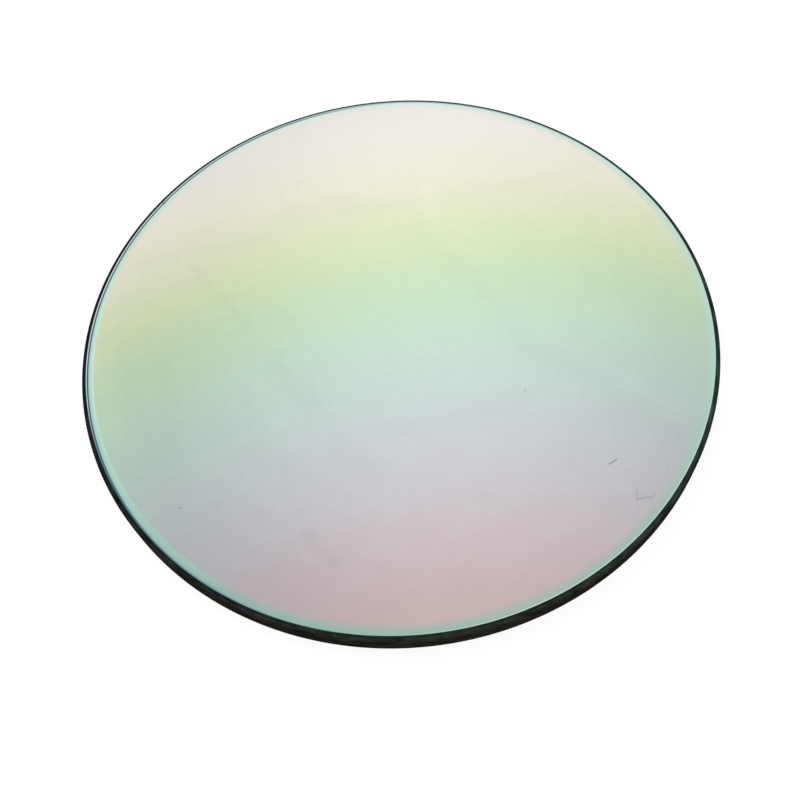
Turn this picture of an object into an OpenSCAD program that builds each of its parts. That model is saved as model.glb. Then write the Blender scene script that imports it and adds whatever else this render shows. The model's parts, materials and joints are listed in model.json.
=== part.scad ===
// Flat round germanium window for infrared optics.
// One solid: two polished plane faces, a finely ground rim, and a narrow
// protective bevel where the rim meets each face.
// It lies on its back face. The origin is the centre of that face, and +Z is
// the optical axis, pointing out of the front face.

/* [Disc] */
// Outer diameter, measured on the ground rim
window_diameter = 75; // [20:0.1:150]
// Thickness between the two polished faces
window_thickness = 3; // [1.6:0.1:10]

/* [Protective bevels] */
// Width of the front bevel, measured across the face
front_bevel_width = 0.5; // [0.1:0.05:0.6]
// Width of the back bevel, measured across the face
back_bevel_width = 0.5; // [0.1:0.05:0.6]
// Angle of both bevels below the plane of their face
bevel_angle = 45; // [30:1:50]

/* [Hidden] */
// Sides of the disc where it is drawn as a mesh; the solid itself stays round
$fn = 256;

rim_radius = window_diameter / 2;

// Height of the rim that each bevel takes away
front_bevel_height = front_bevel_width * tan(bevel_angle);
back_bevel_height = back_bevel_width * tan(bevel_angle);

// Radius of each polished face inside its bevel
front_face_radius = rim_radius - front_bevel_width;
back_face_radius = rim_radius - back_bevel_width;

// The ground rim is a plain cylinder between these two heights
rim_bottom = back_bevel_height;
rim_top = window_thickness - front_bevel_height;

// Half section of the disc, from the axis out to the rim
module window_section() {
    polygon([
        [0, 0],
        [back_face_radius, 0],
        [rim_radius, rim_bottom],
        [rim_radius, rim_top],
        [front_face_radius, window_thickness],
        [0, window_thickness]
    ]);
}

// The blank is ground round, so its whole form is one turn of the section
module germanium_window() {
    color([0.79, 0.87, 0.82])
        rotate_extrude()
            window_section();
}

germanium_window();
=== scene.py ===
# %% [markdown]
# # A germanium window
#
# A germanium window is a flat round plate of a grey, metal-like crystal. It lets heat rays
# into an infrared camera and keeps dust out. Both faces are polished and then coated, and
# the coating gives them their pale green, pink and straw colours. The rim is ground matt
# and dark, with a narrow bevel at each face that keeps the sharp edge from chipping.
#
# The real plate is one solid, so it is one piece here too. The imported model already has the
# right size and the right outline, but so few flat sides that its rim looks faceted from
# close by. A finer disc is therefore made in its place, exactly where it stands, and most of
# the work goes into its finishes.

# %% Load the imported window
import json
import math

import bmesh
import bpy
from mathutils import Matrix, Vector


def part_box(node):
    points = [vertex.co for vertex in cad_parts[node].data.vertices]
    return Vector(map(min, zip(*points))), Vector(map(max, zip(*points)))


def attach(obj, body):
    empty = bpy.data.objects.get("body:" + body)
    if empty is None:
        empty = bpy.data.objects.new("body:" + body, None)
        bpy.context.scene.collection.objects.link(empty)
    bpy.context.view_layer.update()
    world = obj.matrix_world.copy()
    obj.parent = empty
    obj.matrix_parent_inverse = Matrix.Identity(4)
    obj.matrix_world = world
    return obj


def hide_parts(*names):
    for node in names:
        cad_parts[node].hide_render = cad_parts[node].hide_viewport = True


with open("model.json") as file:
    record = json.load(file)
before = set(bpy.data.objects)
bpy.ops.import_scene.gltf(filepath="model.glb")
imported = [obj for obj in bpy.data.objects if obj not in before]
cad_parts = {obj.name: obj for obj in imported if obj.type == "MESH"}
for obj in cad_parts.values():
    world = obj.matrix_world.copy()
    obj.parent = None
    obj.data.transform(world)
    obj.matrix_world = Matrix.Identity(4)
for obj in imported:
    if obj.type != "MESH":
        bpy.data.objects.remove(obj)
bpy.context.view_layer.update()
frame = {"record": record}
packed_low, packed_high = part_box("germanium_window")
print("packed window from", tuple(packed_low), "to", tuple(packed_high))

# %% [markdown]
# ## Sizes
#
# The sizes could be typed in again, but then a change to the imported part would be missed.
# They are read from the part instead: the rim's mount gives the radius and the height of
# the ground land, and what is left of the thickness is shared by the two bevels.

# %% Read the sizes from the part
MM = 0.001
rim_mount = next(m for m in frame["record"]["mounts"] if m["name"] == "rim")
rim_radius = rim_mount["dims"]["r_mm"] * MM
land_height = rim_mount["dims"]["length_mm"] * MM
thickness = round(packed_high.z - packed_low.z, 6)
bevel = (thickness - land_height) / 2
face_radius = rim_radius - bevel
print(f"radius {rim_radius / MM:.2f} mm, thickness {thickness / MM:.2f} mm, bevel {bevel / MM:.2f} mm")

# %% [markdown]
# ## The camera
#
# A small object on a table is usually seen from close by, and then its near side looks wider
# than its far side. A long lens from far away would lose that, so the camera stands about
# 12 cm away, with a lens to match, and looks down at 61 degrees. It is also rolled a little,
# and the window sits above the middle of the picture.
#
# A camera could be aimed with a constraint. Its axes are worked out here instead, because
# the same axes are needed later, to find the point of the face behind a point of the picture.

# %% Place the camera
PICTURE_SIDE = 800
FOCAL_PIXELS = 963
LOOK_DOWN = math.radians(60.64)
ROLL = math.radians(-7.06)
CENTRE_PIXEL = (397.1, 340.25)
DEPTH = 116.50 * MM

look = Vector((0, math.cos(LOOK_DOWN), -math.sin(LOOK_DOWN)))
level_right = Vector((1, 0, 0))
level_down = look.cross(level_right)
picture_right = level_right * math.cos(ROLL) - level_down * math.sin(ROLL)
picture_down = level_right * math.sin(ROLL) + level_down * math.cos(ROLL)


def ray(pixel):
    """The direction from the camera through a point of the picture."""
    across = (pixel[0] - PICTURE_SIDE / 2) / FOCAL_PIXELS
    below = (pixel[1] - PICTURE_SIDE / 2) / FOCAL_PIXELS
    return look + picture_right * across + picture_down * below


eye = -ray(CENTRE_PIXEL) * DEPTH
camera_data = bpy.data.cameras.new("Camera")
camera_data.sensor_fit = "HORIZONTAL"
camera_data.sensor_width = 36
camera_data.lens = camera_data.sensor_width * FOCAL_PIXELS / PICTURE_SIDE
camera_data.clip_start = 0.005
camera_data.clip_end = 10
camera = bpy.data.objects.new("Camera", camera_data)
bpy.context.collection.objects.link(camera)
camera_axes = Matrix((picture_right, -picture_down, -look)).transposed()
camera.matrix_world = Matrix.Translation(eye) @ camera_axes.to_4x4()
bpy.context.scene.camera = camera
print("camera at", [round(n / MM, 1) for n in eye], "mm, lens", round(camera_data.lens, 2), "mm")

# %% Find a point of the face behind a point of the picture


def on_face(pixel):
    """Where the line of sight through a point of the picture meets the front face, in mm."""
    direction = ray(pixel)
    reach = (thickness - eye.z) / direction.z
    spot = eye + direction * reach
    return (spot.x / MM, spot.y / MM, 0)


print("the middle of the picture lies over", [round(n, 2) for n in on_face((400, 400))])

# %% [markdown]
# ## Shader sums
#
# A material is a tree of small nodes, and a sum with five terms needs five of them. Wiring
# them one by one is long and hard to read. One small class holds a socket of the tree and
# takes part in ordinary Python sums, and each sum adds its Math node. Every other node
# comes from its one method, node(), which takes the settings first and then the sockets.

# %% A socket that can be used in sums


class Shade:
    """One output socket of a node tree, for use in Python sums."""

    def __init__(self, tree, socket=None):
        self.tree = tree
        self.socket = socket

    def node(self, kind, settings=None, sockets=None, output=0):
        """Adds a node and gives one of its outputs."""
        made = self.tree.nodes.new(kind)
        for name, value in (settings or {}).items():
            if name == "stops":
                fill_ramp(made.color_ramp.elements, value)
            else:
                setattr(made, name, value)
        for name, value in (sockets or {}).items():
            if isinstance(value, Shade):
                self.tree.links.new(value.socket, made.inputs[name])
            else:
                made.inputs[name].default_value = value
        return Shade(self.tree, made.outputs[output] if made.outputs else None)

    def maths(self, operation, first, second):
        return self.node("ShaderNodeMath", {"operation": operation}, {0: first, 1: second})

    def __add__(self, other):
        return self.maths("ADD", self, other)

    def __radd__(self, other):
        return self.maths("ADD", other, self)

    def __sub__(self, other):
        return self.maths("SUBTRACT", self, other)

    def __rsub__(self, other):
        return self.maths("SUBTRACT", other, self)

    def __mul__(self, other):
        return self.maths("MULTIPLY", self, other)

    def __rmul__(self, other):
        return self.maths("MULTIPLY", other, self)

    def __truediv__(self, other):
        return self.maths("DIVIDE", self, other)

    def __rtruediv__(self, other):
        return self.maths("DIVIDE", other, self)


def fill_ramp(elements, stops):
    """Gives a colour ramp its stops, which are pairs of a place from 0 to 1 and a colour."""
    while len(elements) < len(stops):
        elements.new(0.5)
    for element, (place, colour) in zip(elements, stops):
        element.position = place
    for element, (place, colour) in zip(elements, stops):
        element.color = colour


print("shader sums are ready")

# %% Colours, mixes and soft edges


def paint(code):
    """A colour written as on a screen, such as #C0D8C8, in the light values that nodes use."""
    values = [int(code[n : n + 2], 16) / 255 for n in (1, 3, 5)]
    light = [v / 12.92 if v <= 0.04045 else ((v + 0.055) / 1.055) ** 2.4 for v in values]
    return (*light, 1.0)


def mix(first, second, share):
    """The first colour where share is 0, and the second where it is 1."""
    settings = {"data_type": "RGBA", "blend_type": "MIX"}
    return share.node("ShaderNodeMix", settings, {0: share, 6: first, 7: second}, output=2)


def dim(colour, level):
    """A colour made lighter or darker by a level."""
    return colour.node(
        "ShaderNodeVectorMath", {"operation": "SCALE"}, {0: colour, "Scale": level}
    )


def fade(value, full, gone):
    """1 where the value is at full, 0 where it is at gone, and a soft step between them."""
    rising = full > gone
    sockets = {
        "Value": value,
        "From Min": min(full, gone),
        "From Max": max(full, gone),
        "To Min": 0.0 if rising else 1.0,
        "To Max": 1.0 if rising else 0.0,
    }
    return value.node("ShaderNodeMapRange", {"interpolation_type": "SMOOTHSTEP"}, sockets)


def line(value, middle, half_width):
    """1 where the value is at middle, falling softly to 0 at half a width on either side."""
    offset = value - middle
    gap = offset.maths("MAXIMUM", offset, 0 - offset)
    return fade(gap, 0, half_width)


def distance(place, point):
    """How far a place is from a point."""
    settings = {"operation": "DISTANCE"}
    return place.node("ShaderNodeVectorMath", settings, {0: place, 1: point}, output="Value")


def noise(place, stretch, scale, detail=2.0):
    """Soft noise about 0.5, finer in the directions that are stretched."""
    settings = {"operation": "MULTIPLY"}
    stretched = place.node("ShaderNodeVectorMath", settings, {0: place, 1: stretch})
    sockets = {"Vector": stretched, "Scale": scale, "Detail": detail}
    return place.node("ShaderNodeTexNoise", {"noise_dimensions": "3D"}, sockets)


print("a mid screen grey is", [round(n, 3) for n in paint("#808080")])

# %% [markdown]
# ## Light, world and floor
#
# The window lies on a white table in even light. A mirror shows what is round it, and what
# is round this one is white. So rays from the camera and rays that glance off the polished
# face see a white world at strength 1, while matt surfaces are lit by a dimmer world and by
# two large soft lamps. Together they light a matt card at about the tone it is painted.
#
# A sky of bright lamps would give the same white table, but it would bleach the window. The
# floor is a thin white sheet that glows at most of its whiteness. The rest is lit by the
# lamps, so it still takes the soft shadow under the rim.

# %% The world
WORLD_LEVEL = 0.62

world = bpy.data.worlds.new("Studio")
bpy.context.scene.world = world
world.use_nodes = True
world.node_tree.nodes.clear()
sky = Shade(world.node_tree)
seen = sky.node("ShaderNodeLightPath", output="Is Camera Ray")
glanced = sky.node("ShaderNodeLightPath", output="Is Glossy Ray")
passed = sky.node("ShaderNodeLightPath", output="Is Transmission Ray")
shows_white = seen.maths("MINIMUM", seen + glanced + passed, 1.0)
level = WORLD_LEVEL + (1 - WORLD_LEVEL) * shows_white
background = sky.node("ShaderNodeBackground", sockets={"Color": (1, 1, 1, 1), "Strength": level})
sky.node("ShaderNodeOutputWorld", sockets={"Surface": background})
print("world is white to the eye and", WORLD_LEVEL, "for matt surfaces")

# %% The lamps


def lamp(name, place, width, watts):
    """A square soft lamp that faces the window and doesn't show in its polish."""
    data = bpy.data.lights.new(name, "AREA")
    data.size = width
    data.energy = watts
    made = bpy.data.objects.new(name, data)
    bpy.context.collection.objects.link(made)
    made.location = place
    made.rotation_euler = (-Vector(place)).to_track_quat("-Z", "Y").to_euler()
    made.visible_glossy = False
    print(name, "gives", watts, "W from", place)
    return made


lamp("Key_lamp", (-0.35, 0.30, 0.55), 0.45, 1.55)
lamp("Fill_lamp", (0.45, -0.25, 0.50), 0.45, 0.75)

# %% The floor
FLOOR_SIZE = 6.0
FLOOR_GLOW = 0.91
FLOOR_LIT = 0.13

bpy.ops.object.select_all(action="DESELECT")
bpy.ops.mesh.primitive_plane_add(size=FLOOR_SIZE, location=(0, 0, 0))
floor = bpy.context.object
floor.name = "Floor"

table_top = bpy.data.materials.new("White_table")
table_top.use_nodes = True
table_top.node_tree.nodes.clear()
top = Shade(table_top.node_tree)
matt = top.node("ShaderNodeBsdfDiffuse", sockets={"Color": paint("#E6E6E4")})
lit = top.node("ShaderNodeBsdfDiffuse", sockets={"Color": (FLOOR_LIT, FLOOR_LIT, FLOOR_LIT, 1)})
glow = top.node("ShaderNodeEmission", sockets={"Color": (1, 1, 1, 1), "Strength": FLOOR_GLOW})
shown = top.node("ShaderNodeAddShader", sockets={0: lit, 1: glow})
seen = top.node("ShaderNodeLightPath", output="Is Camera Ray")
glanced = top.node("ShaderNodeLightPath", output="Is Glossy Ray")
passed = top.node("ShaderNodeLightPath", output="Is Transmission Ray")
shows_white = seen.maths("MINIMUM", seen + glanced + passed, 1.0)
surface = top.node("ShaderNodeMixShader", sockets={0: shows_white, 1: matt, 2: shown})
top.node("ShaderNodeOutputMaterial", sockets={"Surface": surface})
floor.data.materials.append(table_top)
bpy.context.scene.view_settings.view_transform = "Standard"
print("floor glows at", FLOOR_GLOW, "and takes its shadow in the other", FLOOR_LIT)

# %% [markdown]
# ## The blank
#
# A maker edges a sawn slice to a round blank, grinds a bevel on both sides, and polishes the
# faces. The disc is made in the same order here. A circle of many sides is the back face.
# It is extruded and widened for the back bevel, extruded straight up for the ground land,
# and extruded and narrowed for the front bevel, which leaves the front face on top.
#
# A spin of the half section would give the same solid, but it leaves hundreds of seam points
# on the axis to merge. One side for each third of a degree keeps the outline smooth when the
# camera is close, and puts corners exactly on the X and Y axes, so the box comes out right.

# %% Helpers that pick parts of the mesh in edit mode


def pick(kind, test):
    """In edit mode, selects only the verts, edges or faces that pass a test, and counts them."""
    modes = {"verts": "VERT", "edges": "EDGE", "faces": "FACE"}
    bpy.ops.mesh.select_mode(type=modes[kind])
    bpy.ops.mesh.select_all(action="DESELECT")
    cage = bmesh.from_edit_mesh(bpy.context.object.data)
    count = 0
    for item in getattr(cage, kind):
        if test(item):
            item.select_set(True)
            count += 1
    bmesh.update_edit_mesh(bpy.context.object.data)
    return count


def out_from_axis(point):
    """How far a point is from the window's axis."""
    return math.hypot(point.x, point.y)


def face_middle(face):
    """The middle of a mesh face."""
    return face.calc_center_median()


print("picking works by place and normal")

# %% Raise the blank from its back face
SIDES = 1080

bpy.ops.object.select_all(action="DESELECT")
bpy.ops.mesh.primitive_circle_add(vertices=SIDES, radius=face_radius, fill_type="NGON")
window = bpy.context.object
window.name = "coated_window"
window.data.name = "coated_window"
bpy.ops.object.mode_set(mode="EDIT")


def raise_edge(rise, widen):
    """Extrudes the selected face straight up and makes its outline wider or narrower."""
    bpy.ops.mesh.extrude_region_move(TRANSFORM_OT_translate={"value": (0, 0, rise)})
    bpy.ops.transform.resize(value=(widen, widen, 1), center_override=(0, 0, 0))


raise_edge(bevel, rim_radius / face_radius)
raise_edge(land_height, 1)
raise_edge(bevel, face_radius / rim_radius)
bpy.ops.mesh.select_all(action="SELECT")
bpy.ops.mesh.normals_make_consistent(inside=False)
cage = bmesh.from_edit_mesh(window.data)
print("the blank has", len(cage.faces), "faces and", round(cage.calc_volume() * 1e9, 1), "cubic mm")

# %% [markdown]
# ## Broken edges
#
# No ground edge is perfectly sharp: where the bevel meets the polish and the land, a last
# light touch leaves a radius of about a tenth of a millimetre. It is too small to see as a
# shape, and it takes the dark ground finish. The thin line of light along the face's edge on
# the near right is a painted highlight, laid on the polish further down. The four rings of
# edges are bevelled together with the Bevel operator, which keeps every other face where it was.

# %% Break the four rings of edges
EDGE_BREAK = 0.12 * MM
CLOSE = 0.001 * MM


def on_ring(edge):
    """True for the edges that run round one of the four rings."""
    first, second = edge.verts
    level = abs(first.co.z - second.co.z) < CLOSE
    same_ring = abs(out_from_axis(first.co) - out_from_axis(second.co)) < CLOSE
    return level and same_ring


ring_edges = pick("edges", on_ring)
bpy.ops.mesh.bevel(offset=EDGE_BREAK, segments=2, profile=0.5, affect="EDGES")
print(ring_edges, "edges broken by", EDGE_BREAK / MM, "mm")

# %% [markdown]
# ## The faces
#
# Each face is one flat polygon with over a thousand corners. It would shade well, but a
# program that cuts it into triangles may make thin slivers right across it. A few insets
# give it rings that grow narrower towards the middle, and Poke closes the last one to a
# single point on the axis.

# %% Lay rings on both faces
RING_STEPS = (0.9, 4.0, 8.0, 10.0, 9.0, 3.8)


def is_flat_cap(face):
    """True for the large polygon in the middle of the front or the back."""
    return len(face.verts) > 4


caps = pick("faces", is_flat_cap)
for step in RING_STEPS:
    bpy.ops.mesh.inset(thickness=step * MM, depth=0)
bpy.ops.mesh.poke()
bpy.ops.object.mode_set(mode="OBJECT")
print(caps, "faces ringed, and the mesh has", len(window.data.polygons), "faces now")

# %% [markdown]
# ## The coated faces
#
# The coating is a stack of films thinner than a wave of light. It takes some colours out of
# the light that it sends back, and which ones depends on how steeply the light comes in. So
# the faces run from rose through grey and mint to straw in broad arcs round one point beside
# the window. A coating that changes with the eye can't be kept on a model that other
# programs show, so the arcs are painted where they lie, by the distance from that point.
#
# The surface under the colour is a mirror: metallic, and nearly smooth.

# %% Where a point of the face is, in millimetres
RIM_MM = rim_radius / MM
FACE_MM = face_radius / MM

coated = bpy.data.materials.new("Coated_polish")
coated.use_nodes = True
coated.node_tree.nodes.clear()
polish = Shade(coated.node_tree)
here = polish.node("ShaderNodeTexCoord", output="Object")
flat_mm = polish.node(
    "ShaderNodeVectorMath", {"operation": "MULTIPLY"}, {0: here, 1: (1 / MM, 1 / MM, 0)}
)
x_mm = polish.node("ShaderNodeSeparateXYZ", sockets={0: flat_mm}, output="X")
y_mm = polish.node("ShaderNodeSeparateXYZ", sockets={0: flat_mm}, output="Y")
across = x_mm / RIM_MM
along = y_mm / RIM_MM
out_mm = distance(flat_mm, (0, 0, 0))
print("face runs to", FACE_MM, "mm and the rim to", RIM_MM, "mm")

# %% The arcs of colour
SHEEN_CENTRE = (3.0, -72.0, 0.0)
NEAR_SHEEN = 36.0
FAR_SHEEN = 110.0
UNEVEN_MM = 5.0
SHEEN_STOPS = (
    (38.0, "#C7B4B3"),
    (44.5, "#CCBEC3"),
    (51.0, "#CDCACF"),
    (57.5, "#CCD2D5"),
    (63.5, "#CADBD6"),
    (71.0, "#C9E2CF"),
    (77.5, "#CCE5C3"),
    (82.0, "#D5E6C0"),
    (88.5, "#E3E9C8"),
    (95.5, "#EFEBDA"),
    (102.0, "#F0EBE3"),
    (108.0, "#EDE8E3"),
)

sheen_reach = FAR_SHEEN - NEAR_SHEEN
sheen_stops = [((mm - NEAR_SHEEN) / sheen_reach, paint(code)) for mm, code in SHEEN_STOPS]
uneven = noise(flat_mm, (0.55, 1.0, 1.0), 0.30, 3.0) - 0.5
sheen_mm = distance(flat_mm, SHEEN_CENTRE) + uneven * UNEVEN_MM
sheen_place = (sheen_mm - NEAR_SHEEN) / sheen_reach
film = polish.node("ShaderNodeValToRGB", {"stops": sheen_stops}, {0: sheen_place})
print(len(sheen_stops), "colours from", NEAR_SHEEN, "to", FAR_SHEEN, "mm from the point")

# %% [markdown]
# The arcs aren't equally bright from side to side: they are a little darker towards the two
# sides, and that darkening is painted shade. Two soft darker patches, at the lower left and
# the far right, are painted shade too. Long soft wipes and a faint haze lie over it, at a few
# hundredths of the brightness.

# %% Painted shade on the sides, and faint wipes
# Painted shade: darker towards both sides, a little less so at the far side, with a slight tilt from left
# to right.
sides = across * across
side_shade = 1.02 - sides * (0.46 - 0.28 * sides) + sides * along * 0.28
side_shade = side_shade + across * (0.12 - 0.12 * sides) - along * along * 0.03


def stroke(place, start, end, half_width):
    """1 along a straight stroke from start to end, falling softly to 0 at its half width."""
    run = Vector(end) - Vector(start)
    from_start = place.node(
        "ShaderNodeVectorMath", {"operation": "SUBTRACT"}, {0: place, 1: start}
    )
    share = from_start.node(
        "ShaderNodeVectorMath",
        {"operation": "DOT_PRODUCT"},
        {0: from_start, 1: run / run.length_squared},
        output="Value",
    )
    share = share.node("ShaderNodeClamp", sockets={0: share})
    nearest = share.node(
        "ShaderNodeVectorMath", {"operation": "SCALE"}, {0: run, "Scale": share}
    )
    return fade(distance(from_start, nearest), 0, half_width)


WIPES = (
    ("right wipe, upper end", (4.3, 14.0), (7.6, 8.1), 3.4, 0.012),
    ("right wipe, bend", (7.8, 7.7), (11.6, 2.1), 3.0, 0.010),
    ("right wipe, middle", (11.8, 1.6), (14.7, -4.5), 3.2, 0.015),
    ("right wipe, lower end", (15.0, -5.2), (22.6, -11.3), 3.0, 0.022),
    ("right wipe, tail", (23.2, -13.6), (29.8, -18.3), 2.6, 0.015),
    ("left wipe, upper end", (-17.3, 2.1), (-14.5, -2.8), 2.2, 0.014),
    ("left wipe, dark part", (-14.2, -3.6), (-10.6, -9.0), 2.8, 0.029),
    ("left wipe, middle", (-10.0, -10.2), (-8.6, -12.6), 2.4, 0.012),
    ("left wipe, lower end", (-8.0, -15.2), (-3.6, -18.7), 2.6, 0.026),
    ("left wipe, tail", (-2.0, -20.4), (2.2, -21.6), 2.4, 0.010),
    ("second left wipe, upper end", (-17.6, -14.0), (-13.8, -16.8), 2.2, 0.018),
    ("second left wipe, middle", (-13.5, -19.4), (-12.5, -23.8), 1.3, 0.010),
    ("second left wipe, lower end", (-12.2, -25.0), (-9.3, -28.3), 1.3, 0.036),
    ("second left wipe, hook", (-9.0, -28.6), (-7.5, -27.9), 1.1, 0.018),
    ("short wipe", (-24.1, 12.5), (-17.9, 3.4), 1.3, 0.022),
    ("long line, left end", (-32.1, 14.1), (-14.3, 15.6), 1.4, 0.013),
    ("long line, middle", (-3.9, 17.9), (6.0, 18.6), 1.6, 0.014),
    ("long line, right end", (7.0, 18.7), (28.0, 20.5), 1.4, 0.018),
    ("smear on the long line", (-12.0, 19.6), (-4.5, 19.0), 2.8, 0.018),
    ("low line, left end", (-4.3, -13.9), (-0.6, -13.8), 1.7, 0.014),
    ("low line, right end", (0.4, -13.7), (13.4, -11.9), 1.8, 0.014),
    ("left edge wipe", (-28.3, 0.5), (-25.3, -17.0), 2.4, 0.012),
)

wipes = 0
for name, start, end, half_width, strength in WIPES:
    wipes = wipes + stroke(flat_mm, (*start, 0), (*end, 0), half_width) * strength
    print(name, "dims the polish by up to", strength)

# %% Haze, lighter places, painted corner shade and grain
LIGHTER = (
    ("left rim glow, upper", (-35.5, 0.0), (-34.2, -9.0), 3.6, 0.034),
    ("left rim glow, lower", (-34.2, -9.0), (-29.5, -20.0), 4.2, 0.030),
    ("far light spot", (6.1, 16.2), (6.3, 20.5), 2.2, 0.018),
    ("beside the right wipe", (19.9, 4.6), (28.2, -4.0), 3.4, 0.010),
    ("beside its lower end", (18.5, -4.5), (24.5, -10.0), 2.6, 0.006),
    ("beside its tail", (25.2, -11.0), (30.9, -17.6), 2.4, 0.016),
    ("beside the left wipe", (-17.5, -5.0), (-12.6, -14.0), 2.0, 0.012),
    ("inside its tail", (-3.4, -15.8), (1.5, -16.8), 2.2, 0.015),
)

lighter = 0
for name, start, end, half_width, strength in LIGHTER:
    lighter = lighter + stroke(flat_mm, (*start, 0), (*end, 0), half_width) * strength
    print(name, "lifts the polish by up to", strength)

LOW_CORNER, LOW_REACH, LOW_SHADE = (-15.0, -31.0, 0), 17.0, 0.045
FAR_CORNER, FAR_REACH, FAR_SHADE = (22.0, 26.0, 0), 18.0, 0.020

# Painted shade: soft dark patches at the lower left and at the far right of the face.
low_corner_shade = fade(distance(flat_mm, LOW_CORNER), 0, LOW_REACH) * LOW_SHADE
far_corner_shade = fade(distance(flat_mm, FAR_CORNER), 0, FAR_REACH) * FAR_SHADE
brushed = noise(flat_mm, (1.0, 0.12, 1.0), 0.9) - 0.5
cloudy = noise(flat_mm, (1.0, 1.0, 1.0), 0.16) - 0.5
mottled = noise(flat_mm, (1.0, 1.0, 1.0), 0.9) - 0.5
grainy = noise(flat_mm, (1.0, 1.0, 1.0), 4.0) - 0.5
texture = brushed * 0.020 + cloudy * 0.030 + mottled * 0.050 + grainy * 0.070
face_level = side_shade - wipes + lighter - low_corner_shade - far_corner_shade + texture
face_colour = dim(film, face_level)
print("haze and grain laid over the arcs")

# %% [markdown]
# ## The edge of the coating
#
# A window is usually held in a ring while it is coated, and the ring hides its outermost edge.
# The film gets thinner towards the ring, so the last millimetre or so turns a cool mint. This
# ring seems to have sat slightly off centre: on the left the film ends in a dark teal line,
# with a hair of bright bare metal outside it, and on the right it runs to the bevel.
# Outside the lines the polish rolls over into the bevel. A dark lip there, about a tenth of a
# millimetre wide and broader and greyer on the far side, is painted shade.
#
# Each line could be a ring of faces with a material of its own. A line that is thinner than a
# hair and fades at its ends is easier to paint, by the distance from the centre of its ring
# and by a mask that shows one side of the rim.

# %% A mask for one side of the rim


def bearing_mask(bearing, full, gone):
    """1 round one bearing of the rim, in degrees, and 0 further than gone degrees from it."""
    angle = math.radians(bearing)
    towards = (x_mm * math.cos(angle) + y_mm * math.sin(angle)) / out_mm
    return fade(towards, math.cos(math.radians(full)), math.cos(math.radians(gone)))


print("bearing 0 is along X and bearing 90 is along Y")

# %% The cool band
BAND_CENTRE = (0.075, -0.13, 0.0)
BAND_START = 35.40
BAND_FULL = 36.65
LEFT_BAND_START = 35.85
LEFT_BAND_FULL = 36.50

RIGHT_BAND = (
    (-1.00, "#A1B9B0"),
    (-0.70, "#A4BDB2"),
    (-0.40, "#AECDBE"),
    (0.00, "#BDD8CA"),
    (0.50, "#C6DFD5"),
    (1.00, "#D7EBE5"),
)
LEFT_BAND = (
    (-1.00, "#98B6AD"),
    (-0.80, "#92B6AF"),
    (-0.50, "#A0CAC7"),
    (0.00, "#B3D6D8"),
    (0.50, "#BEDAD2"),
    (1.00, "#D6EAE4"),
)


def band_ramp(stops):
    """The band's colour from the near edge of the face, at -1, to the far edge, at 1."""
    placed = [((place + 1) / 2, paint(code)) for place, code in stops]
    height = (y_mm / FACE_MM + 1) / 2
    return polish.node("ShaderNodeValToRGB", {"stops": placed}, {0: height})


band_film = mix(band_ramp(LEFT_BAND), band_ramp(RIGHT_BAND), fade(across, 0.25, -0.25))
band_mm = distance(flat_mm, BAND_CENTRE)
wide_band = fade(band_mm, BAND_FULL, BAND_START)
left_band = fade(band_mm, LEFT_BAND_FULL, LEFT_BAND_START)
band = wide_band + (left_band - wide_band) * bearing_mask(184, 20, 40)
banded = mix(face_colour, band_film, band)
print("band from", BAND_START, "to", BAND_FULL, "mm, and from", LEFT_BAND_START, "on the left")

# %% The lines where the coating ends
RING_CENTRE = (0.056, -0.227, 0.0)
TEAL_LINE = 36.71
BARE_LINE = 36.875
EDGE_HIGHLIGHT_LINE = 36.83
INNER_LINE = 36.10

ring_mm = distance(flat_mm, RING_CENTRE)
teal_line = line(ring_mm, TEAL_LINE, 0.20) * bearing_mask(158, 38, 80)
bare_line = line(ring_mm, BARE_LINE, 0.11) * bearing_mask(152, 28, 56)
mint_line = line(out_mm, INNER_LINE, 0.27) * bearing_mask(185, 14, 32)
green_line = line(out_mm, INNER_LINE, 0.45) * bearing_mask(213, 8, 26)
# Painted highlight: a thin line of light just inside the face's edge on the near right.
painted_edge_highlight = line(out_mm, EDGE_HIGHLIGHT_LINE, 0.11) * bearing_mask(308, 38, 62)
blue_edge = fade(out_mm, 36.93, 36.51) * bearing_mask(216, 10, 30)

edge_colour = mix(banded, paint("#CFEBDA"), mint_line * 0.6)
edge_colour = mix(edge_colour, paint("#A6CEB6"), green_line * 0.5)
edge_colour = mix(edge_colour, paint("#334D53"), teal_line)
edge_colour = mix(edge_colour, paint("#DAE4E6"), bare_line)
edge_colour = mix(edge_colour, paint("#CCE6DA"), painted_edge_highlight * 0.7)
edge_colour = mix(edge_colour, paint("#496777"), blue_edge * 0.55)
print("teal line at", TEAL_LINE, "mm from the ring's own centre")

# %% The dark lip outside the lines, painted shade
LIP_CENTRE = (-0.05, -0.14, 0.0)
LIP_START = 36.845
LIP_FULL = 36.915

# Painted shade: the dark lip where the polish rolls over into the bevel, with a broader grey band on the
# far side and a darker touch on the near left.
far_side = bearing_mask(82, 20, 46)
far_lip_shade = fade(out_mm, 36.75, 36.42) * far_side
near_lip_shade = fade(out_mm, 36.90, 36.76) * bearing_mask(242, 20, 40)
lip_mm = distance(flat_mm, LIP_CENTRE) + bearing_mask(176, 40, 78) * 0.085
lip_mm = lip_mm + bearing_mask(346, 8, 22) * 0.02
painted_lip_shade = fade(lip_mm, LIP_FULL, LIP_START)
lip_shade_colour = mix(paint("#1A2322"), paint("#30403C"), bearing_mask(5, 40, 75))
lip_shade_colour = mix(lip_shade_colour, paint("#3A4845"), far_side)
edge_colour = mix(edge_colour, paint("#798B86"), far_lip_shade * 0.7)
edge_colour = mix(edge_colour, paint("#2A3C3A"), near_lip_shade * 0.8)
edge_colour = mix(edge_colour, lip_shade_colour, painted_lip_shade)
print("dark lip from", LIP_START, "to", LIP_FULL, "mm")

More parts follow.
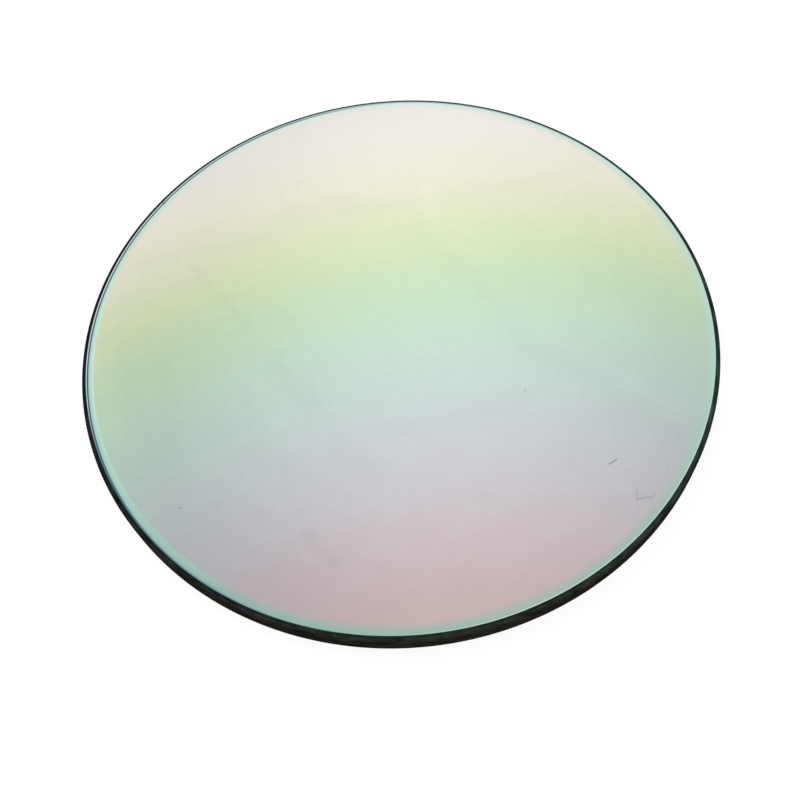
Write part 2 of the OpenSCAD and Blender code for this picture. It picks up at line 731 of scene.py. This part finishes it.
# %% [markdown]
# ## What lies on the polish
#
# A short fibre, a dried smudge in the shape of a bracket and two specks of dust lie on the
# front face. They are far too thin to model, since nothing may stand above the face, so they
# are painted. Each is placed through the camera, by a point of the picture, and then belongs
# to that spot of the face.

# %% Fibre, smudge and specks
fibre = stroke(flat_mm, on_face((609.6, 464.0)), on_face((616.8, 459.3)), 0.17)
smudge_left = stroke(flat_mm, on_face((636.8, 489.5)), on_face((636.8, 499.0)), 0.22)
smudge_base = stroke(flat_mm, on_face((638.0, 498.9)), on_face((649.0, 496.9)), 0.23)
smudge_right = stroke(flat_mm, on_face((651.8, 498.2)), on_face((654.6, 493.0)), 0.20)
smudge_dot = fade(distance(flat_mm, on_face((648.8, 497.2))), 0, 0.16)
smudge = smudge_left * 0.55 + smudge_base * 0.80 + smudge_right * 0.70 + smudge_dot * 0.25
left_speck = fade(distance(flat_mm, on_face((180.6, 507.8))), 0, 0.24)
right_speck = fade(distance(flat_mm, on_face((524.9, 390.4))), 0, 0.26)
scuff = fade(distance(flat_mm, on_face((164.0, 202.8))), 0.05, 0.42)

on_front = fade(here.node("ShaderNodeSeparateXYZ", sockets={0: here}, output="Z"), 2 * MM, MM)
dirt = fibre * 0.58 + smudge * 0.36 + left_speck * 0.50 + right_speck * 0.30
marked_colour = mix(edge_colour, paint("#6E6A70"), dirt * on_front)
marked_colour = mix(marked_colour, paint("#5F746F"), scuff * on_front * 0.6)
print("fibre at", [round(n, 2) for n in on_face((613.5, 461.4))], "mm")

# %% Finish the coated material
POLISH = 0.09

roughness = POLISH + wipes * 1.5 + brushed * 0.05 + dirt * on_front * 0.3
polished = polish.node(
    "ShaderNodeBsdfPrincipled",
    sockets={"Base Color": marked_colour, "Metallic": 1.0, "Roughness": roughness},
)
polish.node("ShaderNodeOutputMaterial", sockets={"Surface": polished})
print("coated polish has", len(coated.node_tree.nodes), "nodes")

# %% [markdown]
# ## The ground rim
#
# The rim and its bevels are ground and not polished, so they send little light back and look
# nearly black. Painted light and shade lie on that tone: a lighter middle and a dark green edge
# next to the face on each bevel, a lighter green bevel on the right, and a darker left side and
# lower left. Fine grinding marks run round the land. Those marks are bump and a change of
# tone, since they are only a few thousandths of a millimetre deep, and the matt look comes from a high
# roughness.

# %% Tone of the bevel and of the land, with painted light and shade
ground = bpy.data.materials.new("Ground_germanium")
ground.use_nodes = True
ground.node_tree.nodes.clear()
grind = Shade(ground.node_tree)
here = grind.node("ShaderNodeTexCoord", output="Object")
all_mm = grind.node("ShaderNodeVectorMath", {"operation": "SCALE"}, {0: here, "Scale": 1 / MM})
x_mm = grind.node("ShaderNodeSeparateXYZ", sockets={0: all_mm}, output="X")
y_mm = grind.node("ShaderNodeSeparateXYZ", sockets={0: all_mm}, output="Y")
z_mm = grind.node("ShaderNodeSeparateXYZ", sockets={0: all_mm}, output="Z")
out_mm = grind.node(
    "ShaderNodeVectorMath",
    {"operation": "LENGTH"},
    {0: grind.node("ShaderNodeCombineXYZ", sockets={0: x_mm, 1: y_mm})},
    output="Value",
)

half_thick = thickness / MM / 2
height = z_mm - half_thick
height = height.maths("MAXIMUM", height, 0 - height)
bevel_mm = bevel / MM
bevel_share = (height - (half_thick - bevel_mm)) / bevel_mm
# Painted light and shade across each bevel: lighter in its middle, dark green next to the face.
edge_stops = (
    (0.00, paint("#262420")),
    (0.25, paint("#272620")),
    (0.50, paint("#2A2C27")),
    (0.66, paint("#2E332D")),
    (0.78, paint("#212E26")),
    (1.00, paint("#1C2D25")),
)
shaded_edge_tone = grind.node("ShaderNodeValToRGB", {"stops": edge_stops}, {0: bevel_share})
on_bevel = fade(bevel_share, 0.45, 0.15)
# Painted light and shade by side: a lighter green bevel on the right, a darker left side and a darker
# blue lower left.
right_bevel_light = bearing_mask(0, 30, 75) * on_bevel
left_rim_shade = bearing_mask(178, 25, 55)
low_left_shade = bearing_mask(214, 16, 42) * fade(bevel_share, 0.85, 0.55)
rim_tone_and_shade = mix(shaded_edge_tone, paint("#30413D"), right_bevel_light * 0.8)
rim_tone_and_shade = mix(rim_tone_and_shade, paint("#231E21"), left_rim_shade * 0.8)
rim_tone_and_shade = mix(rim_tone_and_shade, paint("#18262C"), low_left_shade * 0.8)
print("rim tone follows the height, up to", half_thick, "mm from the middle")

# %% Grinding marks, bump and finish
marks = noise(all_mm, (0.6, 0.6, 9.0), 2.2, 3.0)
grains = noise(all_mm, (1.0, 1.0, 1.0), 14.0, 2.0)
streaks = noise(all_mm, (0.22, 0.22, 1.0), 2.4)
FINE_WEAR = 0.9
STREAK_WEAR = 2.8
DARKEST_WEAR = 0.3
wear = 1 + (marks - 0.5) * FINE_WEAR + (grains - 0.5) * FINE_WEAR + (streaks - 0.5) * STREAK_WEAR
worn_and_shaded_tone = dim(rim_tone_and_shade, wear.maths("MAXIMUM", wear, DARKEST_WEAR))
relief = grind.node(
    "ShaderNodeBump",
    sockets={"Height": marks * 0.6 + grains * 0.4, "Strength": 0.35, "Distance": 0.01 * MM},
    output="Normal",
)
matt_rim = grind.node(
    "ShaderNodeBsdfPrincipled",
    sockets={
        "Base Color": worn_and_shaded_tone,
        "Metallic": 0.0,
        "Roughness": 0.52 + grains * 0.10,
        "Specular IOR Level": 0.0,
        "Normal": relief,
    },
)
grind.node("ShaderNodeOutputMaterial", sockets={"Surface": matt_rim})
print("ground rim has", len(ground.node_tree.nodes), "nodes")

# %% [markdown]
# ## Put the finishes on
#
# The two finishes belong to one solid, so the piece has two material slots. Every face whose
# normal points along the axis is polish, and the rest is ground. The bevels and the land
# are shaded smooth round the ring, and stay crisp across it.

# %% Give each surface its finish
window.data.materials.append(coated)
window.data.materials.append(ground)
bpy.ops.object.mode_set(mode="EDIT")


def is_ground(face):
    """True for the bevels and the land, and not for the polished faces."""
    return abs(face.normal.z) < 0.999


ground_faces = pick("faces", is_ground)
window.active_material_index = 1
bpy.ops.object.material_slot_assign()
bpy.ops.object.mode_set(mode="OBJECT")
bpy.ops.object.shade_smooth_by_angle(angle=math.radians(16))
print(ground_faces, "faces are ground")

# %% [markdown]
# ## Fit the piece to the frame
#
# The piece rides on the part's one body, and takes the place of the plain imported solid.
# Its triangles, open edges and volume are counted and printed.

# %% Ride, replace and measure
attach(window, "root")
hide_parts("germanium_window")

check = bmesh.new()
check.from_mesh(window.data)
open_edges = sum(not edge.is_manifold for edge in check.edges)
triangles = sum(len(face.verts) - 2 for face in check.faces)
print(triangles, "triangles,", open_edges, "open edges,", round(check.calc_volume() * 1e9, 1), "cubic mm")
check.free()
